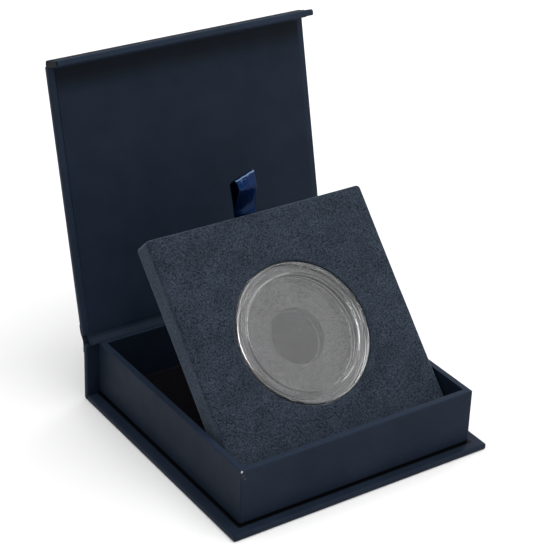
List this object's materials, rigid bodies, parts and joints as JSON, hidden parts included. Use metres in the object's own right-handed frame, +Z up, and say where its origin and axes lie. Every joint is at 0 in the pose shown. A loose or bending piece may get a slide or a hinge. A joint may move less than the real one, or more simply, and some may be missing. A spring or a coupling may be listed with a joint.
{
  "type": "coin gift box",
  "caption": "Square rigid gift box with a book-style hinged lid and magnetic flap, and a tilting velvet insert that holds a clear round coin capsule.",
  "frame": {"origin": "middle of the tray in plan, on the plane of the base panel's underside", "axes": "+Z up from the base, +Y towards the spine and the hinge, +X to the right seen from the front"},
  "size_m": [0.1034, 0.1236, 0.1234],
  "materials": {
    "cover_paper": "navy leather-grain covering paper, satin matte",
    "liner_paper": "navy lining paper, matte",
    "greyboard": "raw greyboard",
    "tray_felt": "black flock lining",
    "velvet": "blue-grey velvet, short pile",
    "pad_core": "dense foam",
    "ribbon_satin": "navy satin ribbon",
    "steel": "plain discs",
    "clear_acrylic": "clear polished acrylic"
  },
  "bodies": {
    "base": {"base_board": "greyboard", "base_wrap": "cover_paper", "spine_board": "greyboard", "spine_wrap": "cover_paper", "tray_wall_front": "greyboard", "tray_wall_back": "greyboard", "tray_wall_left": "greyboard", "tray_wall_right": "greyboard", "tray_floor": "greyboard", "tray_lining": "tray_felt", "tray_wrap": "cover_paper", "corner_stay_front_left": "cover_paper", "corner_stay_front_right": "cover_paper", "corner_stay_back_left": "cover_paper", "corner_stay_back_right": "cover_paper", "keeper_left": "steel", "keeper_right": "steel", "hinge_lining": "liner_paper"},
    "hinge_strip": {"hinge_cover": "cover_paper"},
    "lid": {"lid_board": "greyboard", "lid_wrap": "cover_paper", "lid_liner": "liner_paper", "flap_hinge_cover": "cover_paper"},
    "flap": {"flap_board": "greyboard", "flap_wrap": "cover_paper", "flap_liner": "liner_paper", "flap_magnet_left": "steel", "flap_magnet_right": "steel"},
    "insert": {"insert_core": "pad_core", "insert_cloth": "velvet", "insert_backing": "greyboard"},
    "capsule_base": {"capsule_base": "clear_acrylic"},
    "capsule_lid": {"capsule_lid": "clear_acrylic"},
    "ribbon": {"ribbon_loop": "ribbon_satin"}
  },
  "joints": [
    {"name": "spine_crease", "type": "hinge", "parent": "base", "child": "hinge_strip", "pos_m": [0, 0.0489, 0.0228], "axis": [1, 0, 0], "range_deg": [-76.8, 38], "deforming": ["hinge_lining"]},
    {"name": "lid_crease", "type": "hinge", "parent": "hinge_strip", "child": "lid", "pos_m": [0, 0.0501, 0.02488], "axis": [1, 0, 0], "range_deg": [0, 65.17], "deforming": ["hinge_lining", "ribbon_loop"]},
    {"name": "flap_crease", "type": "hinge", "parent": "lid", "child": "flap", "pos_m": [0, 0.07242, 0.11996], "axis": [1, 0, 0], "range_deg": [-81.1, 8.9], "deforming": ["flap_hinge_cover"]},
    {"name": "insert_tilt", "type": "hinge", "parent": "base", "child": "insert", "pos_m": [0, -0.03665, 0.01776], "axis": [1, 0, 0], "range_deg": [-46.21, 0.01]},
    {"name": "ribbon_fold", "type": "hinge", "parent": "insert", "child": "ribbon", "pos_m": [0, 0.02078, 0.0738], "axis": [1, 0, 0], "range_deg": [-0.01, 118.01]},
    {"name": "capsule_lift", "type": "slide", "parent": "insert", "child": "capsule_base", "axis": [0, 0.7218, -0.6921], "range_m": [-0.008, 0]},
    {"name": "capsule_lid_lift", "type": "slide", "parent": "capsule_base", "child": "capsule_lid", "axis": [0, 0.7218, -0.6921], "range_m": [-0.004, 0]}
  ],
  "couplings": [
    {"joint": "insert_tilt", "follows": "lid_crease", "ratio": -0.70892},
    {"joint": "ribbon_fold", "follows": "lid_crease", "ratio": 1.8107}
  ]
}
